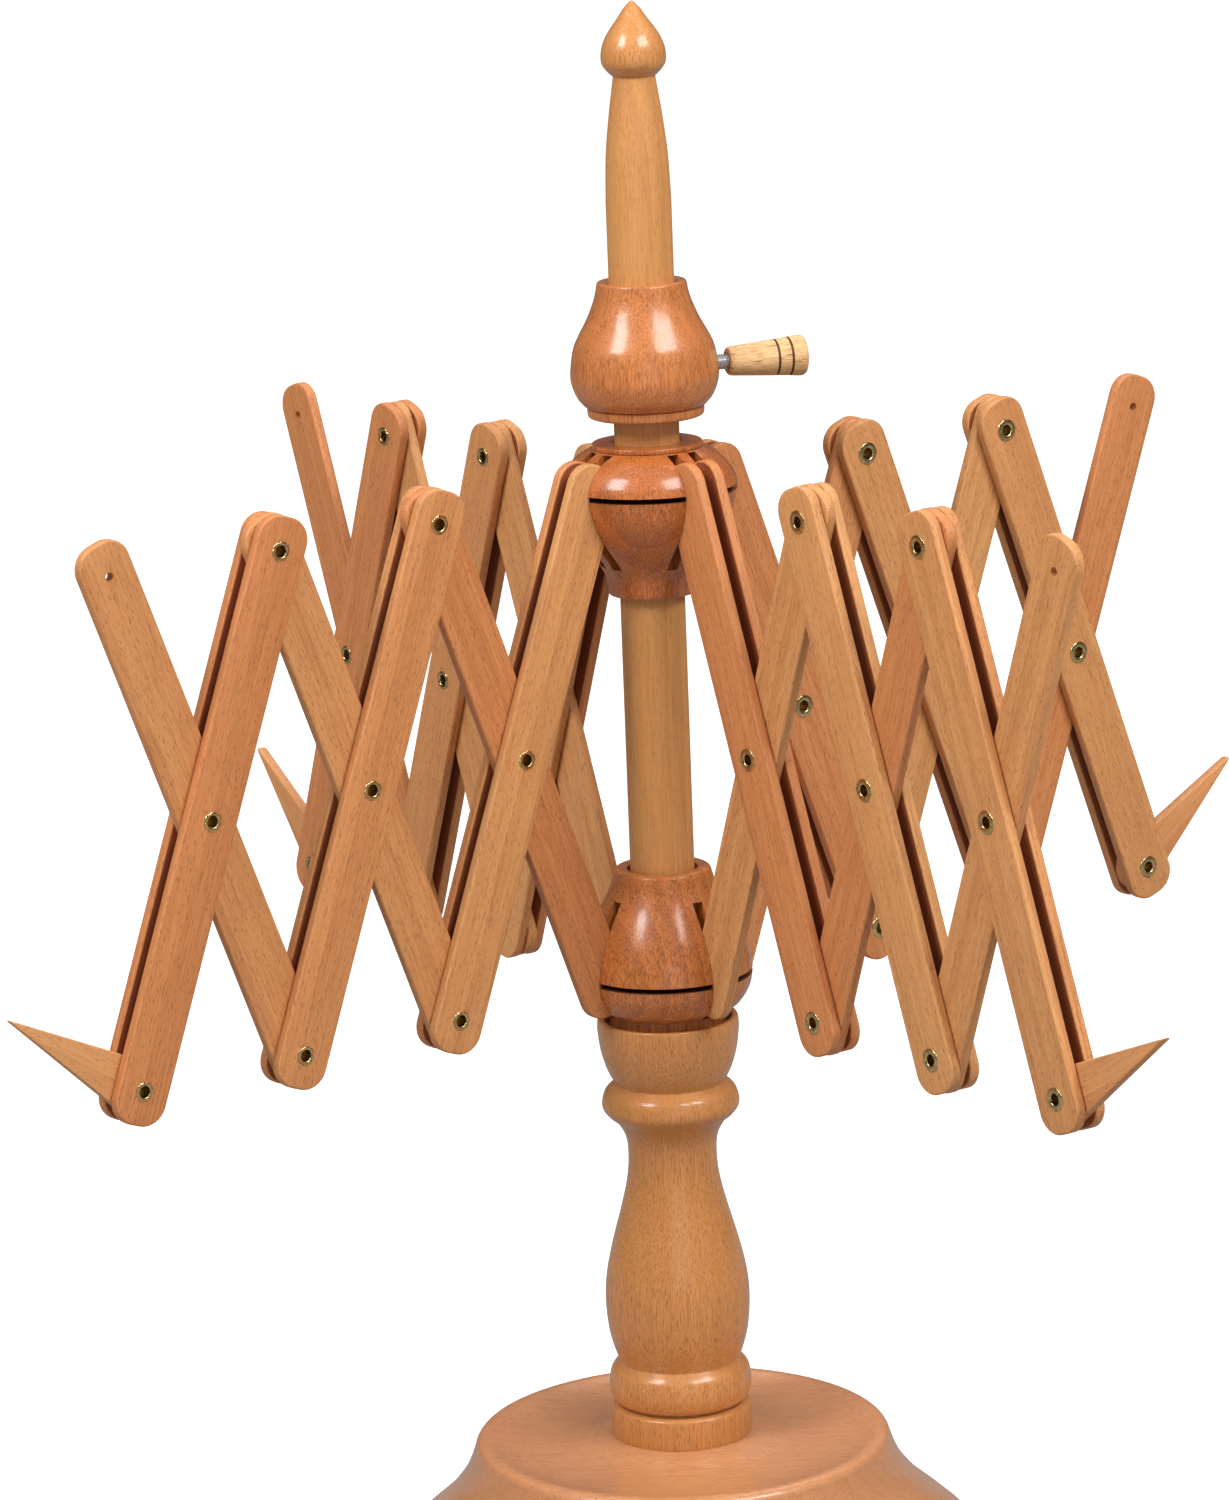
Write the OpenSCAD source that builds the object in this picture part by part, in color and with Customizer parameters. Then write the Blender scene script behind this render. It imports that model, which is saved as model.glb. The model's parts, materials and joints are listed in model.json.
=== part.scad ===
// Table-top wooden yarn swift: a turned stand, a mast, two slotted hubs and four
// scissor arms that open like an umbrella and spin round the mast.
// Origin: centre of the base's underside. +Z is up, along the mast.

/* [Stand] */
// Radius of the base at its foot
base_r = 115; // [112:1:118]
// Height of the base
base_h = 50; // [49:0.5:51]
// Radius of the mast
mast_r = 12.5; // [12.4:0.05:12.5]

/* [Scissor arms] */
// Distance between the first and the last pivot of a slat
pivot_spacing = 204; // [203:0.5:205]
// Angle of the slats above the horizontal
fold_angle = 69.8; // [69:0.2:71]
// Distance of the hub pivots from the axis
hub_pivot_r = 31.2; // [31.1:0.1:31.3]
// Height of the lower hub's pivots
lower_z = 238.5; // [238:0.5:239]
// Direction of the first arm
arm_azimuth = 36; // [30:1:45]
// Width of a slat
slat_w = 22; // [20:0.5:22]
// Thickness of a slat
slat_t = 4.3; // [4:0.1:4.3]
// Slat length beyond its last pivot
slat_end = 13; // [12:0.5:13]
// Corner radius at the ends of a slat
slat_corner_r = 9; // [7:0.5:9.5]

/* [Pegs] */
// Length of a peg from its pivot to its tip
peg_l = 62; // [50:1:64]
// Half width of a peg at its pivot
peg_r = 10.5; // [9:0.5:11]
// Angle of each peg above the horizontal
peg_angles = [37, 43, 34.5, 31]; // [25:0.5:50]

/* [Locking collar] */
// Height of the collar's lower face
collar_z = 457.5; // [457:0.5:459]
// Direction of the thumbscrew
screw_azimuth = 18; // [0:1:36]
// Length of the thumbscrew's handle
handle_l = 31; // [25:1:35]
// Radius of the thumbscrew's thread
screw_r = 3; // [2.5:0.25:3]

/* [Hidden] */
$fn = 64;
// Air between two slat layers that slide on each other
layer_gap = 0.2;
layer = slat_t + layer_gap;
// Radial clearances: glued, sliding and turning fits
glue_gap = 0.05;
slide_gap = 0.1;
pin_gap = 0.08;
seat_gap = 0.3;

// The scissor's pivots, seen along an arm
upper_z = lower_z + pivot_spacing * sin(fold_angle);
middle_z = (upper_z + lower_z) / 2;
half_run = pivot_spacing / 2 * cos(fold_angle);
ROW_Z = [lower_z, middle_z, upper_z];
LOW = 0;
MID = 1;
TOP = 2;

// Eyelets, the tubular rivets that pin the slats
eyelet_r = 2.5;
eyelet_wall = 0.4;
flange_r = 4.4;
flange_t = 0.5;
// Wire rings that carry the inner slat ends, and the holes they run through
wire_r = 0.8;
wire_hole_r = 1.7;
free_hole_r = 2.1;

// Stand
column_socket_r = 15;
column_socket_depth = 25;
mast_socket_h = 105;
cup_h = 170;
cup_floor_h = 166.5;
finial_z = 587.4;
finial_tenon_r = 5;
finial_tenon_l = 12;
bolt_r = 4;
bolt_l = 48;
bolt_head_r = 7.5;
bolt_head_h = 5.5;
counterbore_r = 13;
counterbore_depth = 8;
washer_t = 1.6;

// Hubs
// Reach of a slat's far corner from its first pivot
corner_reach = slat_corner_r + norm([slat_end - slat_corner_r, slat_w / 2 - slat_corner_r]);
slot_floor_r = hub_pivot_r - corner_reach - seat_gap;
slot_gap = 0.1;
groove_w = 2;
groove_floor_r = 30.2;
hub_r = 36;
hub_bore_r = mast_r + slide_gap;
upper_hub_bore_r = mast_r + 0.4;

// Locking collar and thumbscrew
collar_h = 51.8;
screw_h = 18;
insert_r = 4.5;
insert_l = 12;
insert_start = 14;
screw_tip = mast_r + 0.15;
screw_l = 39;
handle_start = 33.2;
handle_r1 = 5.65;
handle_r2 = 8;
ring_cut = 0.35;
ring_w = 0.8;

ARMS = [1, 2, 3, 4];
STAGES = ["inner", "middle", "outer"];
ARM_NODES = [
    for (k = ARMS, s = STAGES, part = ["fork", "link", "eyelets"])
        str("arm", k, "_", s, "_", part)
];
PEG_NODES = [for (k = ARMS) str("arm", k, "_peg")];
STAND_NODES = [
    "base", "column", "base_bolt", "base_washer", "mast", "finial",
    "lower_hub", "lower_wire_ring", "upper_hub", "upper_wire_ring",
    "locking_collar", "collar_insert", "screw_rod", "screw_handle"
];

// Point at t on the smooth curve through p1 and p2, between neighbours p0 and p3
function blend_point(p0, p1, p2, p3, t) =
    0.5 * (2 * p1 + (p2 - p0) * t + (2 * p0 - 5 * p1 + 4 * p2 - p3) * t * t
           + (3 * p1 - p0 - 3 * p2 + p3) * t * t * t);

// Smooth outline through the given points, with n steps between two of them
function smooth(points, n = 4) =
    let (last = len(points) - 1)
    concat(
        [
            for (i = [0 : last - 1], s = [0 : n - 1])
                blend_point(
                    points[max(i - 1, 0)], points[i],
                    points[i + 1], points[min(i + 2, last)], s / n
                )
        ],
        [points[last]]
    );

// Turned solid: its outline is a list of [radius, height] from the bottom to the top
module turned(outline) {
    bottom = outline[0];
    top = outline[len(outline) - 1];
    rotate_extrude()
        polygon(concat([[0, bottom[1]]], outline, [[0, top[1]]]));
}

// Round hole up the axis
module bore(r, low, high) {
    translate([0, 0, low]) cylinder(r = r, h = high - low);
}

// ---- Stand ----

module base() {
    flank = smooth([
        [base_r, 5], [108.5, 11], [97.2, 21], [89, 31], [85.2, 38], [82.8, 44.5]
    ]);
    outline = concat(
        [[base_r - 3, 0], [base_r - 0.8, 0.9], [base_r, 3]],
        flank,
        [[82, base_h - 3.2], [81, base_h - 1.6], [79.4, base_h - 0.8], [77, base_h - 0.7]],
        smooth([
            [76, base_h - 0.9], [68, base_h - 2.4], [56, base_h - 3.2],
            [44, base_h - 2.7], [34, base_h - 0.8], [28.6, base_h]
        ])
    );
    color("burlywood")
        difference() {
            turned(outline);
            bore(column_socket_r + glue_gap, base_h - column_socket_depth, base_h + 1);
            bore(bolt_r + 0.5, -1, base_h);
            bore(counterbore_r, -1, counterbore_depth);
        }
}

module base_bolt() {
    color("silver")
        translate([0, 0, counterbore_depth - washer_t]) {
            translate([0, 0, -bolt_head_h]) cylinder(r = bolt_head_r, h = bolt_head_h, $fn = 6);
            cylinder(r = bolt_r, h = bolt_l);
        }
}

module base_washer() {
    color("silver")
        translate([0, 0, counterbore_depth - washer_t])
            difference() {
                cylinder(r = counterbore_r - 1, h = washer_t);
                bore(bolt_r + glue_gap, -1, washer_t + 1);
            }
}

// Turned post, with heights above the base: plinth, bead, vase, bead and cup
module column() {
    plinth = [[27.1, 0], [27.6, 0.6], [27.6, 10.2], [26.8, 12.2], [24.6, 13]];
    low_bead = smooth([[24.2, 13.3], [26.7, 14.9], [27.9, 18.6], [28, 22.4], [27, 27], [24.1, 30.6]]);
    vase = smooth([
        [24.2, 31], [27.1, 41], [28.4, 53], [27.8, 65], [25, 78.3],
        [20.9, 93.2], [18.2, 105], [17.4, 115], [18.3, 122.6], [21.5, 128.4]
    ]);
    high_bead = smooth([[24.4, 130.6], [26.6, 133.4], [26.9, 136.6], [25.4, 140.8], [21.9, 144]]);
    cup = smooth([[22, 144.4], [24.6, 149.8], [26.7, 157], [27.7, 164.5], [27.7, 168], [27.5, 169.4]]);
    rim = [[27, cup_h], [25.6, cup_h]];
    recess = [[24.8, cup_h - 0.7], [24.6, cup_floor_h]];
    color("burlywood")
        translate([0, 0, base_h])
            difference() {
                union() {
                    turned(concat(plinth, low_bead, vase, high_bead, cup, rim, recess));
                    bore(column_socket_r, -column_socket_depth, 1);
                }
                bore(mast_r + glue_gap, cup_floor_h + 0.1 - (cup_h - mast_socket_h), cup_h + 1);
                bore(bolt_r, -column_socket_depth - 1, counterbore_depth - washer_t + bolt_l - base_h);
            }
}

module mast() {
    socket_z = base_h + cup_floor_h + 0.1 - (cup_h - mast_socket_h);
    taper = smooth([
        [mast_r, 540], [11.8, 557.5], [10.3, 571.5], [9, 580.6], [8, finial_z]
    ]);
    color("navajowhite")
        difference() {
            turned(concat([[mast_r - 1, socket_z], [mast_r, socket_z + 1]], taper));
            bore(finial_tenon_r + glue_gap, finial_z - finial_tenon_l - 0.5, finial_z + 1);
        }
}

module finial() {
    knob = smooth([
        [8.4, 0], [10.6, 2.2], [12.1, 4.6], [12.4, 7.6], [11.8, 11.2], [10.3, 14.8],
        [8.3, 18], [5.4, 22], [3.4, 25], [1.2, 27.4]
    ]);
    color("burlywood")
        translate([0, 0, finial_z]) {
            turned(concat(knob, [[0.5, 28]]));
            bore(finial_tenon_r, -finial_tenon_l, 1);
        }
}

// ---- Hubs: heights are measured from the wire groove ----

// Ring-shaped groove that holds the wire
module wire_groove() {
    rotate_extrude()
        translate([groove_floor_r, -groove_w / 2])
            square([hub_r - groove_floor_r, groove_w]);
}

module wire_ring() {
    rotate_extrude() translate([hub_pivot_r, 0]) circle(r = wire_r, $fn = 24);
}

// Radial slots for the slats, one for each layer height in offsets
module slots(offsets, low, high) {
    for (k = ARMS)
        rotate(arm_azimuth + 90 * (k - 1))
            for (y = offsets)
                translate([slot_floor_r, y - slat_t / 2 - slot_gap, low])
                    cube([hub_r, slat_t + 2 * slot_gap, high - low]);
}

module lower_hub() {
    ring_h = -21.7;
    ring = [[22, ring_h], [22.5, ring_h + 0.6], [22.5, -16.4], [22.9, -15.6]];
    bowl = smooth([[24.6, -15.4], [29, -12.2], [32.6, -6.5], [33.9, 0], [32, 7.5]]);
    bell = smooth([[32.8, 7.5], [30.4, 15], [26.8, 22.5], [23.2, 29], [20.5, 35], [19, 40]]);
    color("peru")
        translate([0, 0, lower_z])
            difference() {
                turned(concat(ring, bowl, bell, [[18.3, 41.2], [17.2, 41.6]]));
                bore(hub_bore_r, ring_h - 1, 45);
                bore(mast_r + 1.2, 36, 45);
                wire_groove();
                slots([0], -15.5, 31);
            }
}

module upper_hub() {
    cone = smooth([
        [16.8, -40.6], [17.8, -34], [21.6, -27], [28, -17.5], [32, -9], [34, -3]
    ]);
    bulge = smooth([[34.2, 0], [33.2, 4.5], [30.6, 9], [26.6, 12.8], [22, 15.4]]);
    lip = [[20.9, 15.5], [21.2, 15.9], [21.2, 17], [20.7, 17.5]];
    color("peru")
        translate([0, 0, upper_z])
            difference() {
                turned(concat([[16, -41.2]], cone, bulge, lip));
                bore(upper_hub_bore_r, -45, 20);
                wire_groove();
                slots([-layer, layer], -29.5, 15.2);
            }
}

module lower_wire_ring() {
    color("#2a1c16") translate([0, 0, lower_z]) wire_ring();
}

module upper_wire_ring() {
    color("#2a1c16") translate([0, 0, upper_z]) wire_ring();
}

// ---- Locking collar ----

// Places a part on the thumbscrew's axis, with its length along +Z
module on_screw_axis() {
    translate([0, 0, collar_z + screw_h])
        rotate([0, 0, screw_azimuth])
            rotate([0, 90, 0])
                children();
}

module locking_collar() {
    ring = [[21.6, 0], [22.2, 0.6], [22.4, 3.6], [22, 4.2]];
    bulb = smooth([
        [23.4, 4.5], [26.2, 8], [28.2, 13.5], [28.3, 18.5], [27, 26.5], [24.4, 32.2],
        [21.8, 37], [19.8, 41.5], [18.4, 45.4], [17.6, 48.6]
    ]);
    rim = [[17.3, collar_h - 1.4], [17, collar_h - 0.5], [16.3, collar_h]];
    color("peru")
        difference() {
            translate([0, 0, collar_z])
                difference() {
                    turned(concat(ring, bulb, rim));
                    bore(mast_r + slide_gap, -1, collar_h + 1);
                }
            on_screw_axis() bore(screw_r + slide_gap, 5, 40);
            on_screw_axis() bore(insert_r + glue_gap, insert_start - 4, insert_start + insert_l);
        }
}

module collar_insert() {
    color("goldenrod")
        on_screw_axis()
            difference() {
                bore(insert_r, insert_start, insert_start + insert_l);
                bore(screw_r + pin_gap, 0, 40);
            }
}

module screw_rod() {
    color("silver")
        on_screw_axis() {
            bore(screw_r, screw_tip + 1, screw_tip + screw_l);
            translate([0, 0, screw_tip])
                cylinder(r1 = screw_r - 1, r2 = screw_r, h = 1);
        }
}

module screw_handle() {
    outline = concat(
        smooth([[4.2, 0], [5.2, 0.5], [handle_r1, 1.8]]),
        [
            [7, 18.8], [7 - ring_cut, 18.9], [7 - ring_cut, 18.9 + ring_w], [7.1, 19.8],
            [7.4, 24.2], [7.4 - ring_cut, 24.3], [7.4 - ring_cut, 24.3 + ring_w], [7.5, 25.2],
            [handle_r2 - 0.1, 29.6], [handle_r2 - 0.4, 30.5], [handle_r2 - 1.2, handle_l]
        ]
    );
    color("wheat")
        on_screw_axis()
            translate([0, 0, handle_start])
                difference() {
                    turned(outline);
                    bore(screw_r + pin_gap, -1, screw_tip + screw_l - handle_start + 0.5);
                }
}

// ---- Scissor arms ----

// Arm k's own plane: X runs outward, Y runs up and Z is square to the slats
module in_arm(k) {
    rotate([0, 0, arm_azimuth + 90 * (k - 1)])
        rotate([90, 0, 0])
            children();
}

// Pivot number i, counted outward from the hub, on the low, middle or top row
module at_pivot(i, row) {
    translate([hub_pivot_r + i * half_run, ROW_Z[row], 0]) children();
}

// Outline of a slat that starts at its first pivot and runs along +X
module slat_outline() {
    full_l = pivot_spacing + 2 * slat_end;
    translate([-slat_end, -slat_w / 2]) {
        translate([slat_corner_r, 0]) square([full_l - 2 * slat_corner_r, slat_w]);
        translate([0, slat_corner_r]) square([full_l, slat_w - 2 * slat_corner_r]);
        for (x = [slat_corner_r, full_l - slat_corner_r])
            for (y = [slat_corner_r, slat_w - slat_corner_r])
                translate([x, y]) circle(r = slat_corner_r);
    }
}

// Slat with a hole of the given radius at each of its three pivots
module slat(holes) {
    translate([0, 0, -slat_t / 2])
        linear_extrude(height = slat_t)
            difference() {
                slat_outline();
                for (i = [0, 1, 2])
                    translate([i * pivot_spacing / 2, 0]) circle(r = holes[i]);
            }
}

// Pair of slats that runs down and outward, from the top row to the low row
module fork(k, stage) {
    tight = eyelet_r + glue_gap;
    color("burlywood")
        in_arm(k)
            at_pivot(2 * stage, TOP)
                rotate([0, 0, -fold_angle])
                    for (side = [-1, 1])
                        translate([0, 0, side * layer])
                            slat([stage == 0 ? wire_hole_r : tight, tight, tight]);
}

// Single slat that runs up and outward between the fork's slats
module link(k, stage) {
    loose = eyelet_r + pin_gap;
    color("tan")
        in_arm(k)
            at_pivot(2 * stage, LOW)
                rotate([0, 0, fold_angle])
                    slat([
                        stage == 0 ? wire_hole_r : loose, loose,
                        stage == 2 ? free_hole_r : loose
                    ]);
}

// Tubular rivet through three slat layers, flanged on one side and rolled on the other
module eyelet() {
    inner = eyelet_r - eyelet_wall;
    face = layer + slat_t / 2;
    rotate_extrude()
        polygon([
            [inner, -face], [inner + 0.3, -face - flange_t], [flange_r - 0.5, -face - flange_t],
            [flange_r - 0.3, -face], [eyelet_r, -face], [eyelet_r, face], [flange_r, face],
            [flange_r, face + 0.2], [flange_r - 0.4, face + flange_t],
            [inner + 0.4, face + flange_t], [inner, face + 0.1]
        ]);
}

// The eyelets that are clinched in one fork
module eyelets(k, stage) {
    color("darkgoldenrod")
        in_arm(k) {
            at_pivot(2 * stage + 1, MID) eyelet();
            at_pivot(2 * stage + 2, LOW) eyelet();
            if (stage > 0) at_pivot(2 * stage, TOP) eyelet();
        }
}

module peg(k) {
    color("burlywood")
        in_arm(k)
            at_pivot(6, LOW)
                rotate([0, 0, peg_angles[k - 1]])
                    translate([0, 0, -slat_t / 2])
                        linear_extrude(height = slat_t)
                            difference() {
                                union() {
                                    circle(r = peg_r);
                                    polygon([
                                        [0, -peg_r], [peg_l - 0.6, -0.5], [peg_l, 0],
                                        [peg_l - 0.6, 0.5], [0, peg_r]
                                    ]);
                                }
                                circle(r = eyelet_r + pin_gap);
                            }
}

base();
column();
base_bolt();
base_washer();
mast();
finial();
lower_hub();
lower_wire_ring();
upper_hub();
upper_wire_ring();
locking_collar();
collar_insert();
screw_rod();
screw_handle();
for (k = ARMS) {
    for (stage = [0, 1, 2]) {
        name = str("arm", k, "_", STAGES[stage]);
        fork(k, stage);
        link(k, stage);
        eyelets(k, stage);
    }
    peg(k);
}
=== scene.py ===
"""Visual model of a table-top yarn swift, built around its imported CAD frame.

Lengths in the outlines are millimetres; Blender objects are in metres.
"""
import json
import math
import random

import bpy
import bmesh
from mathutils import Matrix, Vector


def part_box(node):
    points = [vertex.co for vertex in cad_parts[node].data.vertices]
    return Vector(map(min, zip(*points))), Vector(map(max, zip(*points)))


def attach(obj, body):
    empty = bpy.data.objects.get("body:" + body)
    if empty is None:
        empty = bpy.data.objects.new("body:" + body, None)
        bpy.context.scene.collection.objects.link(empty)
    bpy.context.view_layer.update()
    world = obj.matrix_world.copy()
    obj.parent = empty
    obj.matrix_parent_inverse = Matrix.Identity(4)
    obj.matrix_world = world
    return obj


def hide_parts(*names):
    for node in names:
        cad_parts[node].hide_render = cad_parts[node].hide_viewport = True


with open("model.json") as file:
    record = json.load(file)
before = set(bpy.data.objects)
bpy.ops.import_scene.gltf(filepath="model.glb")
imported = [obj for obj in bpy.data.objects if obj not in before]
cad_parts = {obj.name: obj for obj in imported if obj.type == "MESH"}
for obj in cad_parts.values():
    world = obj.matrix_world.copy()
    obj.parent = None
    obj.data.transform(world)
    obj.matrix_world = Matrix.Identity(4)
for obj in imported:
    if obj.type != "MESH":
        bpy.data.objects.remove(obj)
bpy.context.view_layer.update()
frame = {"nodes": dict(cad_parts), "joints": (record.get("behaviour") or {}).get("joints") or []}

MM = 0.001
TURN_STEPS = 96        # facets round a turned part
CURVE_STEPS = 8        # points between two points of a smooth outline
STAGES = ("inner", "middle", "outer")
ARMS = (1, 2, 3, 4)

# ---------------------------------------------------------------- dimensions

SLAT_W = 22.0
SLAT_T = 4.3
SLAT_END = 13.0        # from a slat's last pivot to its end
SLAT_CORNER = 9.0
SLAT_ROUND = 0.9       # rounding of the long edges
RUN_GAP = 0.2          # between two slats; also a slot's extra width
LAYER = SLAT_T + RUN_GAP    # from one slat layer to the next
EYELET_R = 2.5
EYELET_WALL = 0.4
FLANGE_R = 4.4
PETALS = 6             # of an eyelet's clinched end
PETAL_NOTCH = 0.17     # how far the notches between them reach in
PIN_HOLE_R = EYELET_R + 0.08
WIRE_HOLE_R = 1.7
FREE_HOLE_R = 1.7
PEG_L = 62.0
PEG_R = 10.5           # of a peg's round butt
PEG_ROUND = 0.7
GROOVE_W = 2.0
GROOVE_FLOOR = 30.2
GROOVE_BEVEL = 0.4
SLOT_FLOOR = 17.43
SLOT_W = SLAT_T + RUN_GAP
SLOT_REACH = 40        # a radius outside the hubs
WIRE_R = 0.8
WIRE_STEPS = 14
MAST_R = 12.5
SCREW_R = 3.0
SCREW_L = 39
SCREW_START = MAST_R + 0.15
SCREW_PITCH = 1.0
SCREW_Z = 475.5
SCREW_HOLE_R = SCREW_R + 0.25
THREAD_DEPTH = 0.55
HANDLE_START = 33.2
HANDLE_RINGS = (19.25, 24.65)   # the middles of the two burnt rings
COLLAR_Z = 457.5
FINIAL_Z = 587.4
BASE_H = 50.0

joints = {j["name"]: j for j in frame["joints"]}
hub_pivot = Vector(joints["fold"]["pos_m"]) / MM
cross_pivot = Vector(joints["arm1_cross_pivot_1"]["pos_m"]) / MM
HUB_PIVOT_R = hub_pivot.xy.length
HALF_RUN = cross_pivot.xy.length - HUB_PIVOT_R
HALF_RISE = cross_pivot.z - hub_pivot.z
LOW_Z = hub_pivot.z
MID_Z = LOW_Z + HALF_RISE
TOP_Z = MID_Z + HALF_RISE
SLAT_ANGLE = math.atan2(HALF_RISE, HALF_RUN)
HALF_SLAT = math.hypot(HALF_RUN, HALF_RISE)
SCREW_AXIS = Vector(joints["screw_turn"]["axis"])


def arm_direction(k):
    """The direction of arm k, in radians."""
    x, y, _ = joints["fold" if k == 1 else f"arm{k}_hub_pivot"]["pos_m"]
    return math.atan2(y, x)


def peg_angle(k):
    """The angle of arm k's peg above the horizontal at rest. Its tip is the highest point."""
    _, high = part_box(f"arm{k}_peg")
    pivot = Vector(joints[f"peg{k}_pivot"]["pos_m"])
    return math.asin(min(1.0, (high.z - pivot.z) / (PEG_L * MM)))


# ------------------------------------------------------------------ outlines
# Each is a list of (radius, height) points, from the bottom to the top.

def smooth(points, steps=CURVE_STEPS):
    """A smooth outline (Catmull-Rom) through the points."""
    last = len(points) - 1
    out = []
    for i in range(last):
        p0, p1 = points[max(i - 1, 0)], points[i]
        p2, p3 = points[i + 1], points[min(i + 2, last)]
        for s in range(steps):
            t = s / steps
            out.append(tuple(
                0.5 * (2 * b + (c - a) * t + (2 * a - 5 * b + 4 * c - d) * t * t
                       + (3 * b - a - 3 * c + d) * t ** 3)
                for a, b, c, d in zip(p0, p1, p2, p3)
            ))
    return out + [tuple(points[last])]


def base_outline():
    flank = smooth([(115, 5), (108.5, 11), (97.2, 21), (89, 31), (85.2, 38), (82.8, 44.5),
                    (82.1, 46.8), (80.9, 48.5), (79.2, 49.2), (77, 49.3)])
    dish = smooth([(76, 49.1), (68, 47.6), (56, 46.8), (44, 47.3), (34, 49.2), (28.6, 50),
                   (26, 50)])
    foot = smooth([(112, 0), (114.2, 0.9), (115, 3)], 4)
    return [(13, 8), (13, 0.4), (13.4, 0)] + foot + flank + dish


def column_outline():
    plinth = smooth([(27, 0), (27.6, 0.9), (27.6, 10), (26.8, 12.2), (24.4, 13)], 5)
    low_bead = smooth([(24.2, 13.3), (26.7, 14.9), (27.9, 18.6), (28, 22.4), (27, 27),
                       (24.1, 30.6)])
    vase = smooth([(24.1, 31), (27.1, 41), (28.4, 53), (27.8, 65), (25, 78.3),
                   (20.9, 93.2), (18.2, 105), (17.4, 115), (18.3, 122.6), (21.5, 128.4)])
    high_bead = smooth([(24.4, 130.6), (26.6, 133.4), (26.9, 136.6), (25.4, 140.8), (21.9, 144)])
    cup = smooth([(21.9, 144.3), (24.6, 149.8), (26.7, 157), (27.7, 164.5), (27.7, 168),
                  (27.5, 169.4), (27, 170), (25.6, 170), (24.8, 169.3), (24.6, 166.5)])
    return plinth + low_bead + vase + high_bead + cup + [(12.6, 166.5)]


def mast_outline():
    taper = smooth([(MAST_R, 540), (11.8, 557.5), (10.3, 571.5), (9, 580.6), (8, FINIAL_Z)])
    return [(MAST_R, 155)] + taper


def finial_outline():
    return smooth([(8.4, 0), (10.6, 2.2), (12.1, 4.6), (12.4, 7.6), (11.8, 11.2), (10.3, 14.8),
                   (8.3, 18), (5.4, 22), (3.4, 25), (1.2, 27.4), (0.5, 28)])


def lower_hub_outline():
    ring = [(17, -21.7)] + smooth([(22, -21.7), (22.5, -21.1), (22.5, -16.4), (22.9, -15.6)], 3)
    bowl = smooth([(24.6, -15.4), (29, -12.2), (32.6, -6.5), (33.8, -GROOVE_W / 2)])
    bell = smooth([(33.9, GROOVE_W / 2), (32.8, 7.5), (30.4, 15), (26.8, 22.5), (23.2, 29),
                   (20.5, 35), (19, 40), (18.3, 41.2), (17.2, 41.6), (14, 41.4), (13.7, 40.6)])
    return ring + bowl + groove() + bell + [(13.7, 36), (12.6, 35.6)]


def upper_hub_outline():
    cone = smooth([(12.9, -40.9), (15.9, -41.2), (16.8, -40.4), (17.8, -34), (21.6, -27),
                   (28, -17.5), (32, -9), (34, -GROOVE_W / 2)])
    bulge = smooth([(34.2, GROOVE_W / 2), (33.2, 4.5), (30.6, 9), (26.6, 12.8), (22, 15.4)])
    lip = smooth([(20.9, 15.5), (21.2, 15.9), (21.2, 17), (20.7, 17.5), (18, 17.5)], 4)
    return cone + groove() + bulge + lip + [(13.4, 17.5), (12.9, 17)]


def groove():
    """The burnt groove that holds the wire ring."""
    half = GROOVE_W / 2
    return [(GROOVE_FLOOR + GROOVE_BEVEL, -half), (GROOVE_FLOOR, -half + GROOVE_BEVEL),
            (GROOVE_FLOOR, half - GROOVE_BEVEL), (GROOVE_FLOOR + GROOVE_BEVEL, half)]


def collar_outline():
    ring = smooth([(21.2, 0), (22.2, 0.7), (22.4, 3.4), (22, 4.2)], 4)
    bulb = smooth([(23.4, 4.5), (26.2, 8), (28.2, 13.5), (28.3, 18.5), (27, 26.5), (24.4, 32.2),
                   (21.8, 37), (19.8, 41.5), (18.4, 45.4), (17.6, 48.6),
                   (17.3, 50.4), (17, 51.4), (16.3, 51.8), (14, 51.7)])
    return [(12.6, 0)] + ring + bulb + [(12.6, 50.9)]


def handle_outline():
    def ring(r, z):
        return [(r, z), (r - 0.3, z + 0.12), (r - 0.3, z + 0.78), (r, z + 0.9)]
    end = smooth([(7.5, 25.2), (7.9, 29.2), (7.6, 30.4), (6.6, 31), (0.4, 31)], 5)
    front = smooth([(SCREW_R + 0.1, 0.3), (4.2, 0), (5.2, 0.5), (5.65, 1.8)], 5)
    return front + ring(7, 18.8) + ring(7.4, 24.2) + end


# -------------------------------------------------------------------- meshes

def set_grain(mesh, point_to_grain, seed, tone=None):
    """Stores the wood's own coordinates, in mm with X along the grain, and its tone.

    The tone goes from 0, golden, to about 1, rosy. It is drawn from the lighter half if not given.
    """
    rng = random.Random(seed)
    if tone is None:
        tone = rng.uniform(0.1, 0.6)
    spread = 900
    shift = Vector([rng.uniform(0, spread) for _ in range(3)])
    grain = [c for v in mesh.vertices for c in point_to_grain(v.co / MM) + shift]
    mesh.attributes.new("grain", "FLOAT_VECTOR", "POINT").data.foreach_set("vector", grain)
    tones = [tone] * len(mesh.vertices)
    mesh.attributes.new("tone", "FLOAT", "POINT").data.foreach_set("value", tones)


def upright(p):
    """Grain that runs up the axis of a turned part."""
    return Vector((p.z, p.x, p.y))


def lengthways(p):
    """Grain that runs along X, as in a slat or a board."""
    return Vector(p)


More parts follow.
